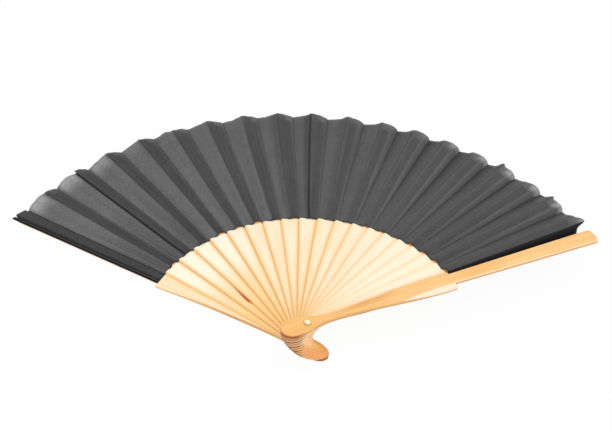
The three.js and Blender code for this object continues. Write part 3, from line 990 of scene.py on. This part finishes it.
def root_gap(rib, across):
    """Share by which a panel's inner edge stands clear of the rib's shoulder, so that the slat shows."""
    gap = 1.1 + 1.3 * waver(rib * 1.37, 3.1, 0.7) + 0.4 * ease((rib - 8) / 5)
    gap += 0.6 * (1 - ease(abs(rib - 5.5) / 2.5)) - 1.3 * (1 - ease(abs(rib - 2.5) / 1.5))
    gap -= 1.2 * (1 - ease(abs(rib - 10) / 2))
    return min(max(gap, 0.0), 2.0) * ease(4.5 * across * (1 - across)) / LEAF_LENGTH


for rib in rib_numbers:
    rows, marks = [], []
    for out in LEAF_OUTS:
        left, right = fold_point(rib, 1, out), fold_point(rib, -1, out)
        half_height = (left.z - right.z) / 2
        row, row_marks = [], []
        for share in even_shares(PANEL_COLUMNS):
            across = math.sin(math.pi / 2 * share)
            reach = out * panel_reach(rib, across) + (1 - out) * root_gap(rib, across)
            point = fold_point(rib, 1, reach).lerp(fold_point(rib, -1, reach), across)
            wrinkle = waver(out * 3.2, across * 3.1, rib * 5.7)
            point.z = (left.z + right.z) / 2 + half_height * panel_height(rib, across)
            point.z += 4 * across * (1 - across) * PANEL_WRINKLE * wrinkle
            if abs(point.y) < SLAT_HALF + BESIDE_SLAT and point.x < SLAT_TIP + 1:
                point.z = max(point.z, slat_top(rib, point.y, point.x) + CLOTH / 2 + ABOVE_SLAT)
            row.append(in_fan(rib, rib_levels[rib], point))
            # The right part of the last panel is painted black, as the shade of the front guard.
            painted_guard_shadow = 1.0 if rib == front_stick - 1 and across > 0.6 else 0.0
            tip = 0.4 + 1.1 * ease((rib - 11) / 3) * ease((across - 0.3) / 0.3)
            tip *= ease((out - 0.925 - 0.03 * wrinkle) / 0.05)
            row_marks.append((tip, out, painted_guard_shadow) + glue_and_painted_light_marks(rib, across, out))
        rows.append(row)
        marks.append(row_marks)
    panel = cloth_sheet(numbered("leaf_glued", rib), rows, marks)
    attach(panel, sticks[rib])
    declare([numbered("leaf_panel", rib)], [numbered("rib", rib) + "_stick"])


# Ends of the leaf on the guards
# The first end is turned over the edge of the back guard and stands up in a fold there; the last one is
# glued flat under the front guard's blade.
STRIP_MARGIN = 1.0
STRIP_GAP = 0.06
STRIP_COLUMNS = 8
BACK_OVERHANG = 3.4
BEFORE_TIP = 206.0
CREST_INSIDE = 2.6
CREST_ROOT = 1.2
CREST_GROWS = 0.9
back_strip = guard_sizes.thickness - guard_sizes.blade_inner + STRIP_GAP + CLOTH / 2
front_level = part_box("front_guard")[0].z / MM
front_strip = guard_sizes.blade_inner - STRIP_GAP - CLOTH / 2
# How far each point of the turned edge stands outside the blade, above it and past the rim, and if black
turned_over = [(0.15, -0.25, 1.2, 1.0), (0.25, 0.2, 1.2, 1.0), (0.15, 0.55, 1.0, 1.0),
               (-0.5, 0.75, 0.8, 1.0), (-0.6, 0.78, 0.6, 0.0), (-1.5, 0.8, 0.3, 0.0),
               (-1.6, 0.55, -0.9, 1.0), (-2.2, 0.5, -1.2, 1.0), (-2.3, 0.9, -0.2, 0.0)]


def strip_point(stick, side, out):
    """The end strip's edge towards the next stick, side -1, or the one before, side 1."""
    radius = leaf_radius(stick, side, out)
    v = side * (blade_half_width(min(radius, BEFORE_TIP), guard_sizes) - STRIP_MARGIN)
    if stick == 0:
        return in_fan(0, 0.0, Vector((radius, v, back_strip)))
    return in_fan(stick, front_level, Vector((radius, v, front_strip)))


for stick, name in ((0, "leaf_end_back"), (front_stick, "leaf_end_front")):
    rows, marks = [], []
    for out in LEAF_OUTS:
        left, right = strip_point(stick, 1, out), strip_point(stick, -1, out)
        row, black = [], []
        if stick == 0:
            radius = LEAF_INNER + out * (LEAF_LENGTH + BACK_OVERHANG)
            edge = blade_half_width(min(radius, BEFORE_TIP), guard_sizes)
            for v, z, far, line in turned_over:
                row.append(in_fan(0, back_strip, Vector((radius + out * far, edge + v, z))))
                black.append(line)
            crest_height = CREST_ROOT + CREST_GROWS * out
            left = in_fan(0, back_strip, Vector((radius, edge - CREST_INSIDE, crest_height)))
            right = in_fan(0, back_strip, Vector((radius - 0.8 * out, STRIP_MARGIN - edge, 0)))
        row += [left.lerp(right, share) for share in even_shares(STRIP_COLUMNS)]
        rows.append(row)
        black += [0.0] * (len(row) - len(black))
        marks.append([(0.0, out * 0.98, line, 1.0, 0.08) for line in black])
    strip = cloth_sheet(name, rows, marks)
    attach(strip, sticks[stick])
    declare([], [])


# Free folds
# Between two sticks the cloth hangs free, and on the real fan turns from the one to the other as the fan
# closes; here each free fold is drawn once, as it lies in the open fan.
# Two joins of the cloth show as black lines, along the left folds of the second and ninth rib.
FOLD_COLUMNS = 10
FOLD_WRINKLE = 0.9
SEAM_WIDTH = {1: 0.9, 8: 0.7}
BESIDE_SEAM = {7: 0.25, 8: 0.5, 9: 0.2}


def edge_point(stick, side, out):
    if stick in (0, front_stick):
        return strip_point(stick, side, out)
    return in_fan(stick, rib_levels[stick], fold_point(stick, side, out))


def fold_slope(behind, ahead):
    """The direction in which the share turned grows, so that both folds keep to their sticks."""
    across = (behind[-1] - behind[0]).cross(ahead[-1] - ahead[0])
    return across / across.dot(ahead[0] - behind[0])


def fold_reach(stick, share):
    """Share by which a free fold's rim bulges from a straight cut. At the first join it falls short."""
    bulge = -0.6 + 2.4 * ease((3.5 - stick) / 3.5) + 0.2 * ease((stick - 7) / 2)
    wave = 4 * share * (1 - share) * (bulge + 0.7 * waver(share * 3.1, stick * 2.9, 6.1))
    if stick == 1:
        wave -= 2.4 * ease((share - 0.5) / 0.5)
    if stick == front_stick - 1:
        wave = valley_stands(stick) - 2.0 * ease(share / 0.5)
    else:
        wave += valley_stands(stick) * (1 - ease(share / 0.7))
        wave += ridge_stands(stick + 1) * ease((share - 0.6) / 0.4)
    return 1 + wave / LEAF_LENGTH


for stick in range(front_stick):
    behind = [edge_point(stick, -1, out) for out in LEAF_OUTS]
    ahead = [edge_point(stick + 1, 1, out) for out in LEAF_OUTS]
    slope = fold_slope(behind, ahead)
    aside = (ahead[-1] - behind[-1]).normalized()
    aside -= slope * aside.dot(slope) / slope.length_squared
    sheerness = max(ease((4 - stick) / 3), ease((stick - 13) / 3) * 0.6)
    to_front = ease((stick - 7) / 7)
    paler = 0.2 * (1 - to_front) * ease((stick - 2) / 2)
    rows, marks = [], []
    for out, start, end in zip(LEAF_OUTS, behind, ahead):
        shares = even_shares(FOLD_COLUMNS)
        seam = 0.0
        if stick in SEAM_WIDTH:
            seam = SEAM_WIDTH[stick] * MM / (end - start).length
            shares[-2:-1] = [1 - 1.6 * seam, 1 - seam]
        deep = (0.3 if stick == 15 else 0.85) * ease((stick - 10) / 2) * out * out
        groove = 0.17 + 0.31 * out
        root = (0.32 - 0.22 * ease(stick / 3)) * (1 - to_front) * (1 - ease(out / 0.7))
        row, row_marks = [], []
        for share in shares:
            wrinkle = waver(out * 2.6, share * 2.3, stick * 7.9)
            reach = out * fold_reach(stick, share)
            point = edge_point(stick, -1, reach).lerp(edge_point(stick + 1, 1, reach), share)
            row.append(point + aside * (FOLD_WRINKLE * MM * wrinkle * 4 * share * (1 - share)))
            tip = ease((out - 0.86) / 0.12) * sheerness * ease(6 * share * (1 - share))
            tip = max(tip, ease((out - 0.975) / 0.02) * 0.5)
            # Black at a seam, and the whole last fold painted black as the shade under the front guard.
            seam_and_guard_shadow = stick == front_stick - 1 or (seam and share >= 1 - 1.01 * seam)
            streak = waver(share * 5, out * 0.8, stick * 4.1)
            # Painted shade: the weave is closed in the groove by the low fold, most towards the front
            # guard and the rim. It is also closed beside the seams.
            dark = to_front * (0.22 + groove * (1 - ease(share / 0.3)) + deep * (1 - ease(share / 0.9)))
            dark += BESIDE_SEAM.get(stick, 0.0) * ease((share - 0.4) / 0.4)
            closed = max(root + 0.22 * streak, dark, 0.0)
            # A lighter grey as painted light, less where the shade is painted.
            painted_light_grey = paler + 0.45 * to_front * (1 - dark)
            row_marks.append((tip, out, 1.0 if seam_and_guard_shadow else 0.0, closed, painted_light_grey))
        rows.append(row)
        marks.append(row_marks)
    fold = cloth_sheet(numbered("leaf_free", stick), rows, marks)
    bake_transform(fold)
    declare([numbered("leaf_fold", stick)], [])


# Studio
# A plain white floor under the fan, an even white sky with one weak lamp behind on the right, and the
# camera of the photograph.
FLOOR_HALF = 4.0
FLOOR_LEVEL = -0.0004
FLOOR_GLOW = 0.95
SKY_LIGHT = 0.9
FOCAL_PIXELS = 1365.37
PICTURE_WIDTH = 612
SENSOR = 36.0
floor_mesh = bpy.data.meshes.new("floor")
corners = ((-1, -1), (1, -1), (1, 1), (-1, 1))
floor_corners = [(x * FLOOR_HALF, y * FLOOR_HALF, FLOOR_LEVEL) for x, y in corners]
floor_mesh.from_pydata(floor_corners, [], [(0, 1, 2, 3)])
floor = add_piece("floor", floor_mesh)
floor_white, n, shader = new_material("floor white")
n.fed(shader, Base_Color=(0.9, 0.9, 0.9, 1), Roughness=0.9)
glow = n.add("ShaderNodeEmission")
sight = n.add("ShaderNodeLightPath").outputs
seen = n.most(sight["Is Camera Ray"], sight["Is Glossy Ray"], sight["Is Transmission Ray"])
both = n.fed(n.add("ShaderNodeMixShader"), n.times(seen, FLOOR_GLOW), shader.outputs[0], glow.outputs[0])
n.fed(n.tree.nodes["Material Output"], Surface=both.outputs[0])
floor_mesh.materials.append(floor_white)

world = bpy.data.worlds.new("studio")
world.use_nodes = True
bpy.context.scene.world = world
n = Nodes(world.node_tree)
seen = n.add("ShaderNodeLightPath").outputs["Is Camera Ray"]
n.fed(n.tree.nodes["Background"], Color=(1, 1, 1, 1), Strength=n.line(seen, 0, 1, SKY_LIGHT, 1))
lamp = bpy.data.lights.new("window lamp", "AREA")
lamp.shape = "DISK"
lamp.size = 3.4
lamp.energy = 20
holder = add_piece("window lamp", lamp)
holder.location = (1.5, 1.2, 1.8)
holder.rotation_euler = (Vector((0, 0.1, 0)) - holder.location).to_track_quat("-Z", "Y").to_euler()

forward = Vector((0.04279272, 0.72797124, -0.68427089)).normalized()
right = Vector((0.99645713, 0.01853464, 0.08203447))
up = right.cross(forward).normalized()
right = forward.cross(up)
camera_data = bpy.data.cameras.new("camera")
camera_data.sensor_width = SENSOR
camera_data.lens = FOCAL_PIXELS / PICTURE_WIDTH * SENSOR
camera_data.clip_start = 0.01
camera = add_piece("camera", camera_data)
turn = Matrix((right, up, -forward)).transposed().to_4x4()
camera.matrix_world = Matrix.Translation((-0.04035522, -0.55117953, 0.6258438)) @ turn
bpy.context.scene.camera = camera
bpy.context.scene.view_settings.view_transform = "Standard"
